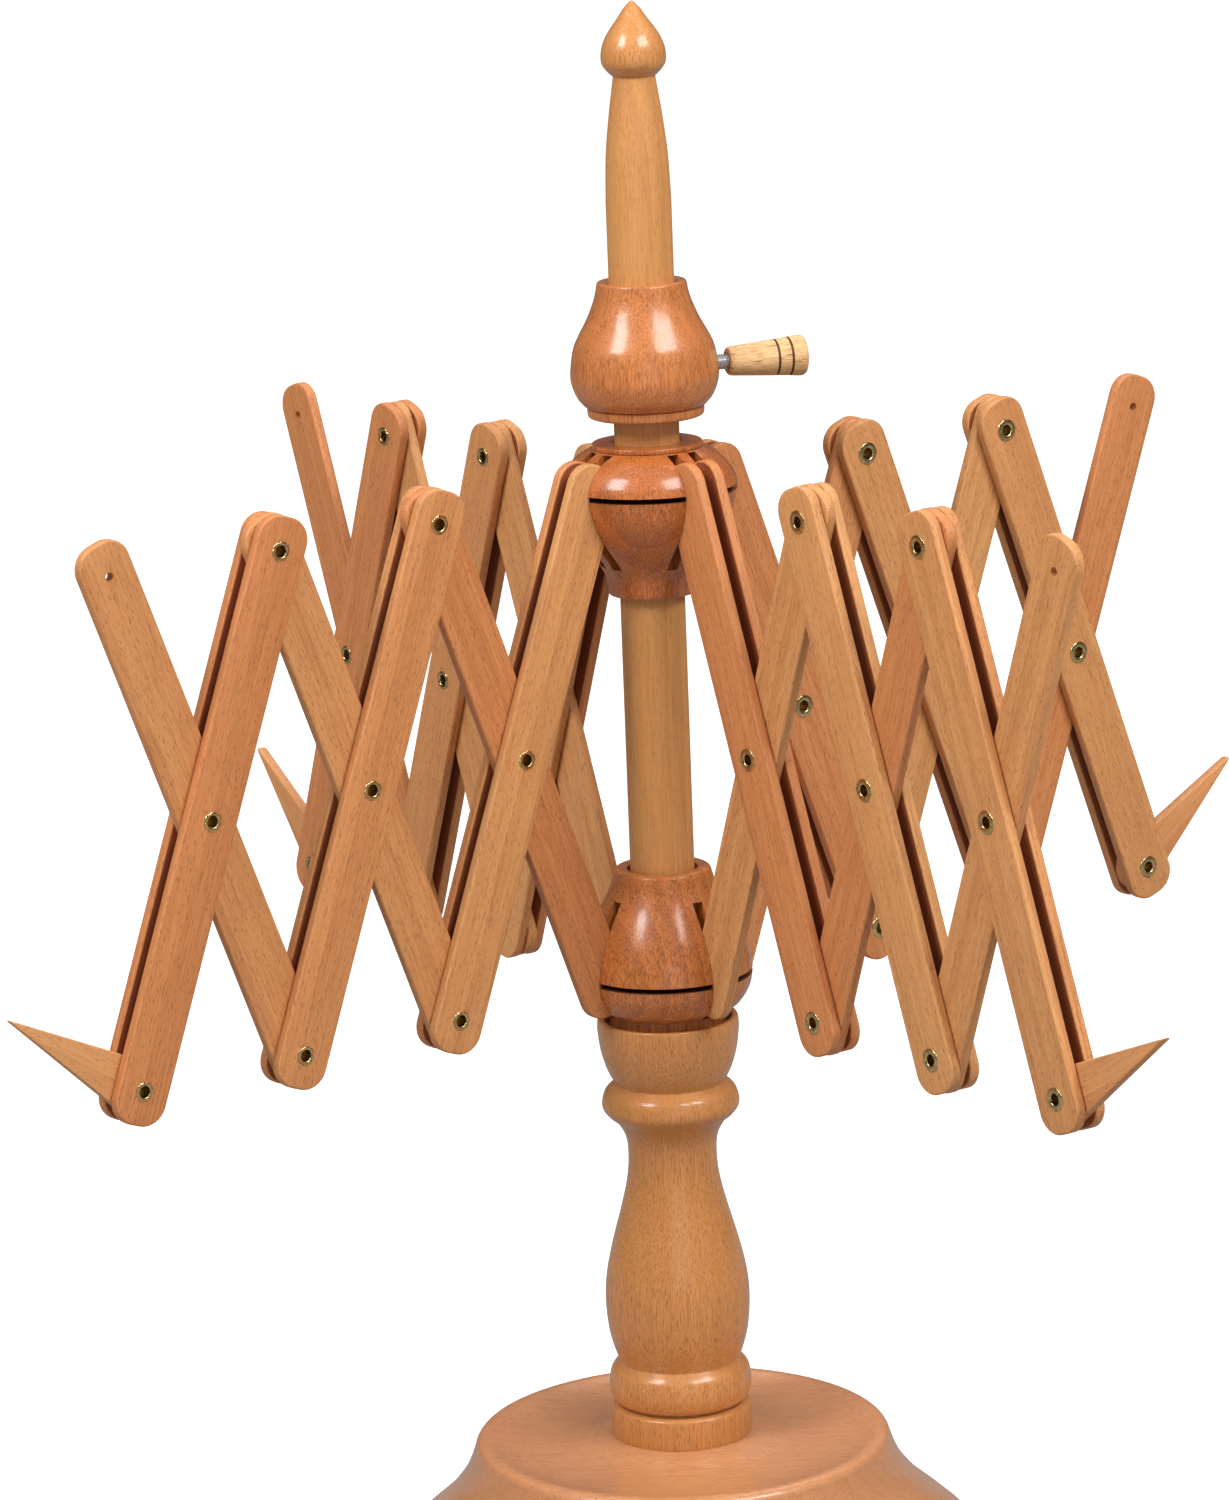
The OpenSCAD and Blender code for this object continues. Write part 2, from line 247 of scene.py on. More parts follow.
def mesh_of_rings(name, rings, closed=False):
    """A mesh over rings of points in metres. Closed joins the last ring to the first."""
    bm = bmesh.new()
    rings = [[bm.verts.new(p) for p in ring] for ring in rings]
    count = len(rings[0])
    pairs = list(zip(rings, rings[1:]))
    if closed:
        pairs.append((rings[-1], rings[0]))
    for low, high in pairs:
        for s in range(count):
            t = (s + 1) % count
            bm.faces.new((low[s], low[t], high[t], high[s]))
    if not closed:
        bm.faces.new(list(reversed(rings[0])))
        bm.faces.new(rings[-1])
    mesh = bpy.data.meshes.new(name)
    bm.normal_update()
    bm.to_mesh(mesh)
    bm.free()
    return mesh


def revolve(name, outline, steps=TURN_STEPS, closed=False):
    """A turned mesh. The outline runs up the outside; a closed one runs round its section."""
    turn = [2 * math.pi * s / steps for s in range(steps)]
    rings = [[(r * MM * math.cos(a), r * MM * math.sin(a), z * MM) for a in turn]
             for r, z in outline]
    return mesh_of_rings(name, rings, closed)


def shade(mesh, angle=35):
    """Smooth shading, with edges sharper than the angle kept crisp."""
    mesh.polygons.foreach_set("use_smooth", [True] * len(mesh.polygons))
    mesh.set_sharp_from_angle(angle=math.radians(angle))


def cut(mesh, cutters):
    """The mesh with the closed cutter meshes taken away."""
    body = bpy.data.objects.new("body_to_cut", mesh)
    tool = bpy.data.objects.new("cutter", join_meshes("cutters", cutters))
    for o in (body, tool):
        bpy.context.scene.collection.objects.link(o)
    mod = body.modifiers.new("cut", "BOOLEAN")
    mod.object = tool
    mod.operation = "DIFFERENCE"
    mod.solver = "EXACT"
    mod.use_self = True
    bpy.context.view_layer.update()
    depsgraph = bpy.context.evaluated_depsgraph_get()
    done = bpy.data.meshes.new_from_object(body.evaluated_get(depsgraph))
    for o in (body, tool):
        bpy.data.objects.remove(o)
    return done


def join_meshes(name, meshes):
    """One mesh that holds several."""
    bm = bmesh.new()
    for m in meshes:
        bm.from_mesh(m)
    out = bpy.data.meshes.new(name)
    bm.to_mesh(out)
    bm.free()
    return out


def block(x0, x1, y0, y1, z0, z1, matrix=Matrix()):
    """A box in mm, used as a cutter."""
    bm = bmesh.new()
    bmesh.ops.create_cube(bm, size=1.0)
    size = Vector((x1 - x0, y1 - y0, z1 - z0)) * MM
    middle = Vector((x1 + x0, y1 + y0, z1 + z0)) * MM / 2
    for v in bm.verts:
        v.co = matrix @ (Vector((v.co.x * size.x, v.co.y * size.y, v.co.z * size.z)) + middle)
    mesh = bpy.data.meshes.new("block")
    bm.to_mesh(mesh)
    bm.free()
    return mesh


def round_cutter(x, r, half_height):
    """An upright round cutter at x, in mm."""
    mesh = revolve("round_cutter", [(r, -half_height), (r, half_height)], 40)
    mesh.transform(Matrix.Translation((x * MM, 0, 0)))
    return mesh


def rounded_rectangle(x0, x1, half_w, corner, steps=10):
    """The corners of a rounded rectangle, in mm, anticlockwise."""
    centres = [(x1 - corner, half_w - corner, 0), (x0 + corner, half_w - corner, 90),
               (x0 + corner, corner - half_w, 180), (x1 - corner, corner - half_w, 270)]
    return [
        (cx + corner * math.cos(math.radians(start + 90 * s / steps)),
         cy + corner * math.sin(math.radians(start + 90 * s / steps)))
        for cx, cy, start in centres
        for s in range(steps + 1)
    ]


def plate(name, outline_at, half_t, edge):
    """A flat plate with rounded edges. outline_at(inset) gives its outline, drawn in by inset."""
    steps = 4
    levels = []
    for s in range(steps + 1):
        a = math.radians(90 * s / steps)
        levels.append((edge * (1 - math.sin(a)), -half_t + edge * (1 - math.cos(a))))
    levels += [(inset, -z) for inset, z in reversed(levels)]
    return mesh_of_rings(name, [[(x * MM, y * MM, z * MM) for x, y in outline_at(inset)]
                                for inset, z in levels])


def slat_mesh(name, holes):
    """A slat from its first pivot along X, with a hole of the given radius at each pivot."""
    def outline_at(inset):
        return rounded_rectangle(-SLAT_END + inset, 2 * HALF_SLAT + SLAT_END - inset,
                                 SLAT_W / 2 - inset, SLAT_CORNER - inset)
    solid = plate(name, outline_at, SLAT_T / 2, SLAT_ROUND)
    return cut(solid, [round_cutter(i * HALF_SLAT, r, SLAT_T) for i, r in enumerate(holes)])


def peg_mesh():
    """A wedge with a round butt and a slightly blunt point, its pivot at the origin."""
    def outline_at(inset):
        r = PEG_R - inset
        tip = PEG_L - inset * 1.5
        tangent = math.acos(r / tip)
        steps = 16
        start, end = tangent, 2 * math.pi - tangent
        arc = [(r * math.cos(start + (end - start) * s / steps),
                r * math.sin(start + (end - start) * s / steps)) for s in range(steps + 1)]
        return arc + [(tip - 0.5, -0.35), (tip, 0), (tip - 0.5, 0.35)]
    solid = plate("peg", outline_at, SLAT_T / 2, PEG_ROUND)
    return cut(solid, [round_cutter(0, PIN_HOLE_R, SLAT_T)])


def eyelet_mesh():
    """A tubular rivet: a rolled flange on +Z, and a clinched star of petals on -Z.

    Its materials are 0 for the flange, 1 for the bore, painted near black as shade, and 2 for the
    clinched half.
    """
    face = LAYER + SLAT_T / 2
    inner = EYELET_R - EYELET_WALL
    flange = [(inner, face - 1.2), (inner + 0.05, face), (inner + 0.35, face + 0.38),
              (2.95, face + 0.54), (3.7, face + 0.5), (4.25, face + 0.36), (FLANGE_R, face + 0.12),
              (4.3, face), (EYELET_R, face)]
    clinch = [(EYELET_R, -face), (3.4, -face), (3.75, -face - 0.12), (3.5, -face - 0.42),
              (2.9, -face - 0.5), (inner + 0.2, -face - 0.3), (inner, -face + 0.3)]
    outline = smooth(flange, 3) + smooth(clinch, 3)
    mesh = revolve("eyelet", list(reversed(outline)), 36, closed=True)
    for v in mesh.vertices:
        x, y, z = v.co / MM
        r = math.hypot(x, y)
        if z < -face + 0.05 and r > EYELET_R + 0.1:
            a = math.atan2(y, x)
            notch = max(0.0, math.cos(PETALS * a)) ** 6
            shrink = 1 - PETAL_NOTCH * notch * (r - EYELET_R) / (FLANGE_R - EYELET_R)
            v.co.x *= shrink
            v.co.y *= shrink

    def material_of(middle):
        if math.hypot(*middle.xy) < inner + 0.04 and abs(middle.z) < face - 0.4:
            return 1
        return 2 if middle.z < 0 else 0
    mesh.polygons.foreach_set("material_index", [material_of(p.center / MM) for p in mesh.polygons])
    return mesh


def threaded_rod_mesh(length, steps=24, rows_per_turn=8):
    """A rod along +Z with a helical thread, chamfered at its start."""
    rows = int(length / SCREW_PITCH * rows_per_turn)
    rings = []
    for i in range(rows + 1):
        z = length * i / rows
        ring = []
        for s in range(steps):
            phase = (z / SCREW_PITCH + s / steps) % 1.0
            wave = abs(2 * phase - 1)
            r = SCREW_R - THREAD_DEPTH * (1 - min(1.0, wave * 1.25))
            r = min(r, SCREW_R - max(0.0, 1 - z))
            a = 2 * math.pi * s / steps
            ring.append((r * MM * math.cos(a), r * MM * math.sin(a), z * MM))
        rings.append(ring)
    return mesh_of_rings("threaded_rod", rings)


# ----------------------------------------------------------------- materials

def srgb(r, g, b):
    """A colour from its usual 0 to 255 values."""
    def linear(c):
        c /= 255
        return c / 12.92 if c <= 0.04045 else ((c + 0.055) / 1.055) ** 2.4
    return (linear(r), linear(g), linear(b), 1.0)


class Shader:
    """A material under construction."""

    def __init__(self, name):
        self.material = bpy.data.materials.new(name)
        self.material.use_nodes = True
        self.tree = self.material.node_tree
        self.surface = self.tree.nodes["Principled BSDF"]

    def set(self, values):
        """Sets the surface's own sockets."""
        for socket, value in values.items():
            self.surface.inputs[socket].default_value = value

    def drive(self, socket, source):
        """Links a node to one of the surface's sockets."""
        self.link(source, self.surface.inputs[socket])

    def link(self, source, target):
        self.tree.links.new(source, target)

    def add(self, kind, inputs=None, **settings):
        """A new node. An input is a value or another node's output."""
        node = self.tree.nodes.new(kind)
        for key, value in settings.items():
            setattr(node, key, value)
        for key, value in (inputs or {}).items():
            if isinstance(value, bpy.types.NodeSocket):
                self.link(value, node.inputs[key])
            else:
                node.inputs[key].default_value = value
        return node

    def attribute(self, name, output):
        return self.add("ShaderNodeAttribute", attribute_name=name).outputs[output]

    def scaled(self, vector, factors, offset=(0, 0, 0)):
        """A vector times factors, plus an offset."""
        return self.add("ShaderNodeVectorMath", {0: vector, 1: factors, 2: offset},
                        operation="MULTIPLY_ADD").outputs[0]

    def noise(self, vector, detail=2.0, rough=0.5, distortion=0.0):
        return self.add("ShaderNodeTexNoise", {
            "Vector": vector, "Scale": 1.0, "Detail": detail, "Roughness": rough,
            "Distortion": distortion}).outputs["Fac"]

    def remap(self, value, low, high, to_low=0.0, to_high=1.0):
        """A value's smooth step from low to high, put on another range."""
        return self.add("ShaderNodeMapRange", {
            "Value": value, "From Min": low, "From Max": high,
            "To Min": to_low, "To Max": to_high}, interpolation_type="SMOOTHSTEP").outputs[0]

    def math(self, operation, a, b=0.0):
        return self.add("ShaderNodeMath", {0: a, 1: b}, operation=operation).outputs[0]

    def mix(self, factor, a, b):
        """Colour a, with b over it by the factor."""
        node = self.add("ShaderNodeMix", data_type="RGBA")
        for key, value in ((0, factor), (6, a), (7, b)):
            if isinstance(value, bpy.types.NodeSocket):
                self.link(value, node.inputs[key])
            else:
                node.inputs[key].default_value = value
        return node.outputs[2]


def wood(name, golden, rosy, dark, gloss, flecks=1.0, fibre=1.0, fleck_size=1.0, bands=0.2,
         burn=None):
    """Beech: two ground tones, growth bands, fibre streaks and short dark ray flecks.

    Flecks, fibre and bands are strengths. Burn is a mask and the colour of the charred wood.
    """
    s = Shader(name)
    grain = s.attribute("grain", "Vector")

    # Ground: golden to rosy, by the piece's own tone and large soft patches
    tone = s.attribute("tone", "Fac")
    warp = s.noise(s.scaled(grain, (0.012, 0.05, 0.05)), 2)
    patch = s.noise(s.scaled(grain, (0.006, 0.045, 0.045), (3, 7, 1)), 3, distortion=0.6)
    rosiness = s.math("ADD", s.math("MULTIPLY", tone, 0.75), s.math("MULTIPLY", patch, 0.5))
    ground = s.mix(s.remap(rosiness, 0.15, 1.0), golden, rosy)

    # Growth bands
    rings = s.add("ShaderNodeTexWave", {
        "Vector": s.scaled(grain, (0.01, 1.0, 1.0)), "Scale": 0.045, "Distortion": 5.0,
        "Detail": 2.0, "Detail Scale": 0.7, "Phase Offset": 1.0,
    }, wave_type="RINGS", rings_direction="X", wave_profile="SAW").outputs["Fac"]
    ground = s.mix(s.remap(rings, 0.1, 1.0, 0.0, bands), ground, dark)

    # Dark streaks, pale streaks and fine fibre, all long along the grain
    streak = s.noise(s.scaled(grain, (0.045, 2.6, 2.6)), 3, 0.6)
    ground = s.mix(s.remap(streak, 0.42, 0.72, 0.0, 0.42 * fibre), ground, dark)
    pale = s.noise(s.scaled(grain, (0.03, 1.1, 1.1), (11, 5, 2)), 3, 0.6)
    light = tuple(min(1.0, c * 1.18) for c in golden[:3]) + (1.0,)
    ground = s.mix(s.remap(pale, 0.5, 0.75, 0.0, 0.25 * fibre), ground, light)
    fine = s.noise(s.scaled(grain, (0.35, 5.0, 5.0), (5, 1, 9)), 2, 0.7)
    ground = s.mix(s.remap(fine, 0.5, 0.74, 0.0, 0.4 * fibre), ground, dark)

    # Ray flecks: the cores of some long, thin, wobbly cells
    size = 1 / fleck_size
    wobble = s.add("ShaderNodeTexNoise", {"Vector": grain, "Scale": 0.35, "Detail": 1.0})
    place = s.add("ShaderNodeVectorMath", {
        0: s.scaled(grain, (0.2 * size, 1.5 * size, 1.5 * size)),
        1: s.scaled(wobble.outputs["Color"], (0.5, 0.5, 0.5)),
    }, operation="ADD").outputs[0]
    cells = s.add("ShaderNodeTexVoronoi", {"Vector": place, "Scale": 1.0, "Randomness": 1.0},
                  voronoi_dimensions="3D")
    near = s.remap(cells.outputs["Distance"], 0.36, 0.14)
    chosen = s.remap(cells.outputs["Color"], 0.42, 0.62)
    fleck = s.math("MULTIPLY", near, chosen)
    deep = tuple(c * 0.3 for c in dark[:3]) + (1.0,)
    colour = s.mix(s.math("MULTIPLY", fleck, 0.8 * flecks), ground, deep)

    # Painted shade on the faces inside a fork, where the slats shade each other, and charred wood
    fork_inner_shade = s.attribute("fork_inner_shade", "Fac")
    colour = s.mix(s.math("MULTIPLY", fork_inner_shade, 0.78), colour, srgb(120, 44, 18))
    if burn:
        mask, char = burn
        colour = s.mix(mask(s), colour, char)
    s.drive("Base Color", colour)

    s.drive("Roughness", s.remap(streak, 0.3, 0.8, gloss["rough"] - 0.04, gloss["rough"] + 0.07))
    height = s.math("SUBTRACT", s.math("MULTIPLY", streak, 0.35), s.math("MULTIPLY", fleck, 0.6))
    height = s.math("ADD", height, s.math("MULTIPLY", warp, 0.2))
    bump = s.add("ShaderNodeBump", {"Height": height, "Strength": gloss["bump"],
                                    "Distance": 0.00012})
    s.drive("Normal", bump.outputs[0])
    s.set({"Coat Weight": gloss["coat"], "Coat Roughness": gloss["coat_rough"],
           "Coat IOR": 1.4, "IOR": 1.38})
    return s.material


def height_in(s):
    """The height within the piece, in metres."""
    spot = s.add("ShaderNodeTexCoord").outputs["Object"]
    return s.add("ShaderNodeSeparateXYZ", {0: spot}).outputs["Z"]


def burnt_groove(s):
    """How burnt the wood is, by its distance from the groove at the part's own height 0."""
    distance = s.math("ABSOLUTE", height_in(s))
    return s.remap(distance, (GROOVE_W / 2 + 0.25) * MM, (GROOVE_W / 2 - 0.15) * MM)


def burnt_rings(s):
    """How burnt the handle is, in its two turned rings."""
    height = height_in(s)
    rings = [
        s.remap(s.math("ABSOLUTE", s.math("SUBTRACT", height, z * MM)), 0.62 * MM, 0.34 * MM)
        for z in HANDLE_RINGS
    ]
    return s.math("MAXIMUM", *rings)


def metal(name, colour, worn, rough, patina=0.5, metallic=1.0):
    """A metal with a mottled patina of its worn colour."""
    s = Shader(name)
    spot = s.add("ShaderNodeTexCoord").outputs["Object"]
    blotch = s.noise(s.scaled(spot, (700, 700, 700)), 4, 0.6)
    s.drive("Base Color", s.mix(s.remap(blotch, 0.35, 0.7, 0.0, patina), colour, worn))
    s.drive("Roughness", s.remap(blotch, 0.3, 0.75, rough - 0.06, rough + 0.14))
    fine = s.noise(s.scaled(spot, (3000, 3000, 3000)), 2)
    bump = s.add("ShaderNodeBump", {"Height": fine, "Strength": 0.15, "Distance": 0.00005})
    s.drive("Normal", bump.outputs[0])
    s.set({"Metallic": metallic})
    return s.material


LACQUER = {"rough": 0.42, "coat": 0.8, "coat_rough": 0.17, "bump": 0.25}
SATIN = {"rough": 0.55, "coat": 0.2, "coat_rough": 0.36, "bump": 0.5}
BARE = {"rough": 0.6, "coat": 0.0, "coat_rough": 0.3, "bump": 0.6}

# Each wood's golden, rosy and dark colours come first
STAND_WOOD = wood("lacquered_beech", srgb(205, 142, 80), srgb(199, 127, 68), srgb(146, 82, 34),
                  LACQUER, flecks=0.7, fibre=1.4, bands=0.1)
BASE_WOOD = wood("base_beech", srgb(203, 143, 98), srgb(196, 130, 85), srgb(148, 86, 45),
                 LACQUER, flecks=0.6, fibre=1.1, bands=0.1)
MAST_WOOD = wood("mast_beech", srgb(205, 146, 84), srgb(197, 131, 72), srgb(152, 90, 44),
                 SATIN, flecks=0.35)
HUB_WOOD = wood("hub_beech", srgb(206, 124, 62), srgb(186, 99, 43), srgb(98, 44, 14),
                LACQUER, flecks=0.6, fibre=2.1, bands=0.25,
                burn=(burnt_groove, srgb(44, 20, 10)))
COLLAR_WOOD = wood("collar_beech", srgb(203, 126, 68), srgb(189, 104, 51), srgb(122, 60, 22),
                   LACQUER, flecks=0.5, fibre=1.9, fleck_size=1.5, bands=0.15)
SLAT_WOOD = wood("slat_beech", srgb(210, 154, 96), srgb(201, 129, 77), srgb(150, 84, 44),
                 SATIN, flecks=0.85, fibre=1.25, fleck_size=0.75)
PEG_WOOD = wood("peg_beech", srgb(212, 154, 98), srgb(202, 130, 80), srgb(156, 92, 50),
                SATIN, flecks=0.5, fleck_size=0.7)
HANDLE_WOOD = wood("handle_ash", srgb(230, 190, 138), srgb(218, 172, 118), srgb(146, 98, 54),
                   BARE, flecks=0.7, fibre=1.8, fleck_size=2.2,
                   burn=(burnt_rings, srgb(92, 46, 22)))
BRASS = metal("eyelet_brass", srgb(224, 196, 138), srgb(136, 106, 58), 0.24, 0.65)
PALE_BRASS = metal("eyelet_clinch", srgb(238, 224, 190), srgb(156, 134, 94), 0.24, 0.5)
# The bore's near-black colour is painted shade inside the tube, not a dark brass
BORE_PAINTED_SHADE = metal("eyelet_bore_painted_shade", srgb(20, 15, 11), srgb(9, 7, 5), 0.7, metallic=0.2)
BUSH_BRASS = metal("bush_brass", srgb(220, 190, 110), srgb(170, 140, 76), 0.28)
STEEL = metal("zinc_steel", srgb(202, 204, 206), srgb(150, 152, 154), 0.26, 0.4, 0.75)
WIRE = metal("black_wire", srgb(26, 20, 18), srgb(52, 36, 28), 0.42)


# -------------------------------------------------------------------- pieces

def add_piece(name, mesh, materials, body, nodes, matrix, angle=35):
    """Puts a mesh on a CAD body, in place of its CAD nodes."""
    shade(mesh, angle)
    piece = bpy.data.objects.new(name, mesh)
    bpy.context.scene.collection.objects.link(piece)
    mesh.materials.clear()
    for m in materials:
        mesh.materials.append(m)
    piece.matrix_world = matrix
    bpy.context.view_layer.update()
    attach(piece, body)
    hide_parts(*nodes)


def up(z):
    """A move up by z mm."""
    return Matrix.Translation((0, 0, z * MM))


def turned_piece(node, outline, material, body, z, seed, cutters=(), grain=upright):
    """A turned wooden part that stands on the axis, with its outline's zero height at z."""
    mesh = revolve(node, outline)
    if cutters:
        mesh = cut(mesh, cutters)
    set_grain(mesh, grain, seed)
    add_piece(f"{node}_turned", mesh, [material], body, [node], up(z))


def slot_cutters(offsets, low, high):
    """Boxes that cut the radial slots of a hub."""
    return [
        block(SLOT_FLOOR, SLOT_REACH, y - SLOT_W / 2, y + SLOT_W / 2, low, high,
              Matrix.Rotation(arm_direction(k), 4, "Z"))
        for k in ARMS for y in offsets
    ]


def build_stand():
    turned_piece("base", base_outline(), BASE_WOOD, "stand", 0, 11,
                 grain=lengthways)
    turned_piece("column", column_outline(), STAND_WOOD, "stand", BASE_H, 12)
    turned_piece("mast", mast_outline(), MAST_WOOD, "stand", 0, 13)
    turned_piece("finial", finial_outline(), STAND_WOOD, "stand", FINIAL_Z, 14)


def build_hubs():
    turned_piece("lower_hub", lower_hub_outline(), HUB_WOOD, "rotor", LOW_Z, 21,
                 slot_cutters([0], low=-15.5, high=31))
    turned_piece("upper_hub", upper_hub_outline(), HUB_WOOD, "upper_hub", TOP_Z, 22,
                 slot_cutters([-LAYER, LAYER], low=-29.5, high=15.2))
    section = [(HUB_PIVOT_R + WIRE_R * math.cos(a), WIRE_R * math.sin(a))
               for a in (2 * math.pi * s / WIRE_STEPS for s in range(WIRE_STEPS))]
    for node, body, z in (("lower_wire_ring", "rotor", LOW_Z),
                          ("upper_wire_ring", "upper_hub", TOP_Z)):
        add_piece(f"{node}_wire", revolve(node, section, closed=True), [WIRE], body,
                  [node], up(z))


def build_collar():
    across = SCREW_AXIS.to_track_quat("Z", "Y").to_matrix().to_4x4()
    axis = up(SCREW_Z) @ across
    inner_end, outer_end = 5, 40
    hole = revolve("screw_hole", [(SCREW_HOLE_R, inner_end), (SCREW_HOLE_R, outer_end)], 32)
    hole.transform(up(SCREW_Z - COLLAR_Z) @ across)
    turned_piece("locking_collar", collar_outline(), COLLAR_WOOD, "locking_collar",
                 COLLAR_Z, 31, [hole])
    add_piece("screw_rod_thread", threaded_rod_mesh(SCREW_L), [STEEL], "thumbscrew",
              ["screw_rod"], axis @ up(SCREW_START), angle=50)
    mesh = revolve("screw_handle", handle_outline(), 64)
    set_grain(mesh, upright, 35)
    add_piece("screw_handle_turned", mesh, [HANDLE_WOOD], "thumbscrew",
              ["screw_handle"], axis @ up(HANDLE_START))


def in_arm(k, i, z, angle=0.0, side=0.0):
    """Places a piece in arm k's plane at pivot i and height z, turned by an angle."""
    return (Matrix.Rotation(arm_direction(k), 4, "Z") @ Matrix.Rotation(math.radians(90), 4, "X")
            @ Matrix.Translation(((HUB_PIVOT_R + i * HALF_RUN) * MM, z * MM, side * MM))
            @ Matrix.Rotation(angle, 4, "Z"))


def copy_of(mesh, seed, side=0.0, tone=None):
    """A copy of a slat or peg with its own grain, moved sideways within its fork.

    The face towards the fork's middle is marked for painted shade.
    """
    out = mesh.copy()
    set_grain(out, lengthways, seed, tone)
    inner = -math.copysign(SLAT_T / 2 * MM, side)
    touch = 0.05 * MM
    # Marks the faces towards the fork's middle, which the wood darkens as painted shade
    fork_inner_shade = [1.0 if side and abs(v.co.z - inner) < touch else 0.0 for v in out.vertices]
    out.attributes.new("fork_inner_shade", "FLOAT", "POINT").data.foreach_set("value", fork_inner_shade)
    out.transform(Matrix.Translation((0, 0, side * MM)))
    return out


# The tones of the forks and links that are redder than the rest
REDDER = {
    "arm1_inner_fork": 0.9, "arm1_outer_link": 0.9, "arm2_outer_fork": 0.95,
    "arm2_outer_link": 0.85, "arm3_inner_link": 0.9, "arm3_outer_fork": 1.0,
    "arm4_inner_fork": 1.1, "arm4_middle_link": 0.8,
}


def build_arms():
    hub_slat = slat_mesh("hub_slat", [WIRE_HOLE_R, PIN_HOLE_R, PIN_HOLE_R])
    plain_slat = slat_mesh("plain_slat", [PIN_HOLE_R, PIN_HOLE_R, PIN_HOLE_R])
    free_slat = slat_mesh("free_slat", [PIN_HOLE_R, PIN_HOLE_R, FREE_HOLE_R])
    fork_slats = (hub_slat, plain_slat, plain_slat)
    link_slats = (hub_slat, plain_slat, free_slat)
    eyelet = eyelet_mesh()
    peg = peg_mesh()
    for k in ARMS:
        for stage, stage_name in enumerate(STAGES):
            name = f"arm{k}_{stage_name}"
            seed = 100 * k + 10 * stage
            tone = REDDER.get(f"{name}_fork")
            pair = join_meshes(name, [copy_of(fork_slats[stage], seed + 1, -LAYER, tone),
                                      copy_of(fork_slats[stage], seed + 2, LAYER, tone)])
            add_piece(f"{name}_fork_slats", pair, [SLAT_WOOD], f"{name}_fork",
                      [f"{name}_fork"], in_arm(k, 2 * stage, TOP_Z, -SLAT_ANGLE))
            single = copy_of(link_slats[stage], seed + 3, tone=REDDER.get(f"{name}_link"))
            add_piece(f"{name}_link_slat", single, [SLAT_WOOD], f"{name}_link",
                      [f"{name}_link"], in_arm(k, 2 * stage, LOW_Z, SLAT_ANGLE))
            places = [(2 * stage + 1, MID_Z), (2 * stage + 2, LOW_Z)]
            if stage:
                places.append((2 * stage, TOP_Z))
            copies = []
            for i, z in places:
                rivet = eyelet.copy()
                rivet.transform(in_arm(k, i, z, random.Random(seed + i).uniform(0, 6)))
                copies.append(rivet)
            add_piece(f"{name}_eyelet_set", join_meshes(name, copies),
                      [BRASS, BORE_PAINTED_SHADE, PALE_BRASS], f"{name}_fork",
                      [f"{name}_eyelets"], Matrix())
        add_piece(f"arm{k}_peg_wedge", copy_of(peg, 500 + k), [PEG_WOOD], f"arm{k}_peg",
                  [f"arm{k}_peg"], in_arm(k, 6, LOW_Z, peg_angle(k)))


def dress_hidden_parts():
    """The CAD's own steel and brass parts keep their shape."""
    for node, material in (("base_bolt", STEEL), ("base_washer", STEEL),
                           ("collar_insert", BUSH_BRASS)):
        data = frame["nodes"][node].data
        data.materials.clear()
        data.materials.append(material)


# --------------------------------------------------------------------- stage

def make_camera():
    """A long lens, a little above the swift and looking down on it."""
    place = Vector((0.0, -2.258, 0.8378))
    yaw, pitch, roll = (math.radians(a) for a in (-0.428, 12.748, -2.15))
    ahead = Vector((math.sin(yaw) * math.cos(pitch), math.cos(yaw) * math.cos(pitch),
                    -math.sin(pitch)))
    level = Vector((math.cos(yaw), -math.sin(yaw), 0))
    over = level.cross(ahead)
    right = level * math.cos(roll) + over * math.sin(roll)
    top = over * math.cos(roll) - level * math.sin(roll)
    data = bpy.data.cameras.new("camera")
    data.lens = 143.7
    data.sensor_width = 36
    data.clip_end = 100
    camera = bpy.data.objects.new("camera", data)
    camera.matrix_world = Matrix((right, top, -ahead)).transposed().to_4x4()
    camera.matrix_world.translation = place
    bpy.context.scene.collection.objects.link(camera)
    bpy.context.scene.camera = camera


def add_light(name, place, size, power):
    """A soft rectangular light, aimed at the middle of the swift."""
    data = bpy.data.lights.new(name, "AREA")
    data.shape = "RECTANGLE"
    data.size, data.size_y = size
    data.energy = power
    lamp = bpy.data.objects.new(name, data)
    lamp.location = place
    aim = Vector((0, 0, 0.33)) - Vector(place)
    lamp.rotation_euler = aim.to_track_quat("-Z", "Y").to_euler()
    bpy.context.scene.collection.objects.link(lamp)


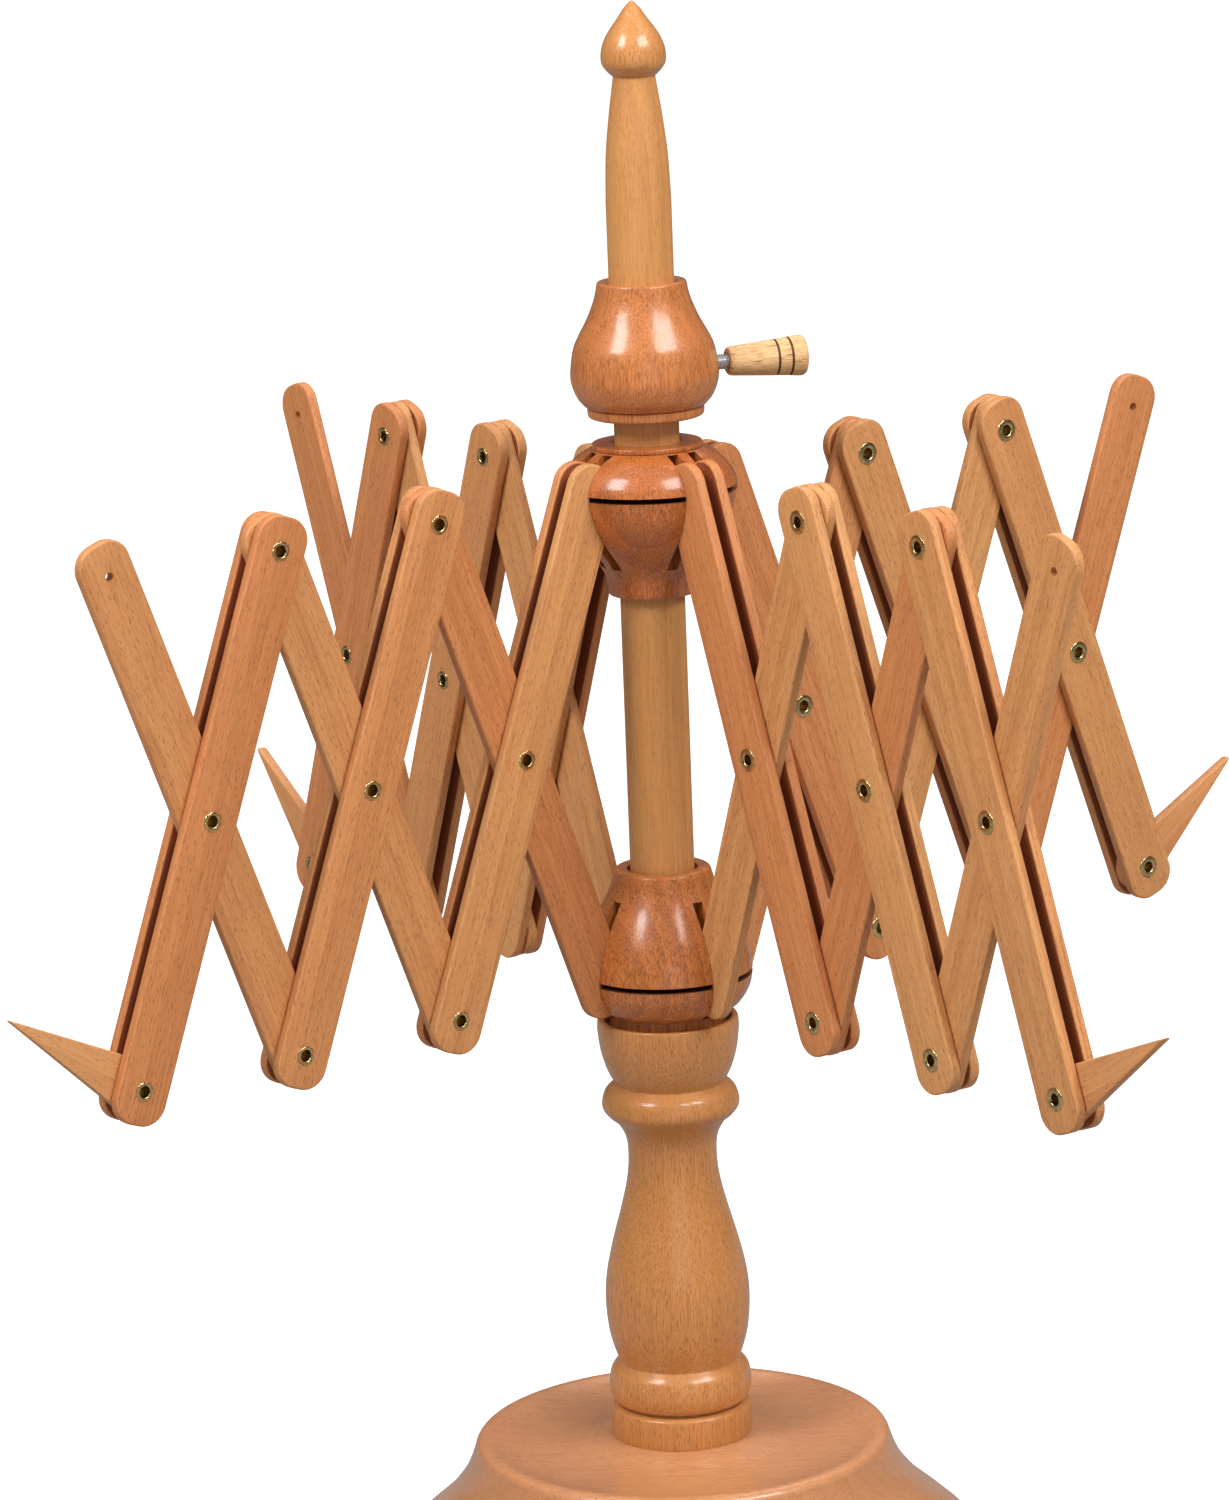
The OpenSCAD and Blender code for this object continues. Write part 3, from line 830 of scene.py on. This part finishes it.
def make_floor():
    """A wide floor that the camera sees as white, but that throws little light back."""
    mesh = bpy.data.meshes.new("floor")
    half = 15
    mesh.from_pydata([(-half, -half, 0), (half, -half, 0), (half, half, 0), (-half, half, 0)], [],
                     [(0, 1, 2, 3)])
    floor = bpy.data.objects.new("floor", mesh)
    bpy.context.scene.collection.objects.link(floor)
    s = Shader("pale_floor")
    s.set({"Base Color": (0.25, 0.25, 0.25, 1), "Roughness": 0.9, "Emission Color": (1, 1, 1, 1)})
    seen = s.add("ShaderNodeLightPath").outputs["Is Camera Ray"]
    s.drive("Emission Strength", s.remap(seen, 0, 1))
    mesh.materials.append(s.material)


def make_world():
    """A white world, dimmer as ambient light and dimmer still in reflections."""
    world = bpy.data.worlds.new("studio")
    world.use_nodes = True
    tree = world.node_tree
    background = tree.nodes["Background"]
    background.inputs["Color"].default_value = (1, 1, 1, 1)
    path = tree.nodes.new("ShaderNodeLightPath")
    ambient, reflected = 0.5, 0.08
    dull = tree.nodes.new("ShaderNodeMapRange")
    dull.inputs["To Min"].default_value = ambient
    dull.inputs["To Max"].default_value = reflected
    tree.links.new(path.outputs["Is Glossy Ray"], dull.inputs["Value"])
    level = tree.nodes.new("ShaderNodeMapRange")
    tree.links.new(dull.outputs[0], level.inputs["To Min"])
    tree.links.new(path.outputs["Is Camera Ray"], level.inputs["Value"])
    tree.links.new(level.outputs[0], background.inputs["Strength"])
    bpy.context.scene.world = world


def make_lights():
    add_light("left_softbox", (-1.33, -1.08, 2.0), (0.8, 0.85), 41)
    add_light("right_softbox", (1.22, -1.18, 2.0), (1.3, 0.75), 47)
    add_light("front_fill", (0.5, -3.2, 0.7), (1.6, 1.2), 7)
    add_light("overhead", (0, 0.2, 2.4), (1.6, 1.6), 8)
    add_light("back_fill", (0.4, 1.9, 2.5), (1.6, 1.2), 12)


make_camera()
make_floor()
make_world()
make_lights()
bpy.context.scene.view_settings.view_transform = "Standard"
build_stand()
build_hubs()
build_collar()
build_arms()
dress_hidden_parts()
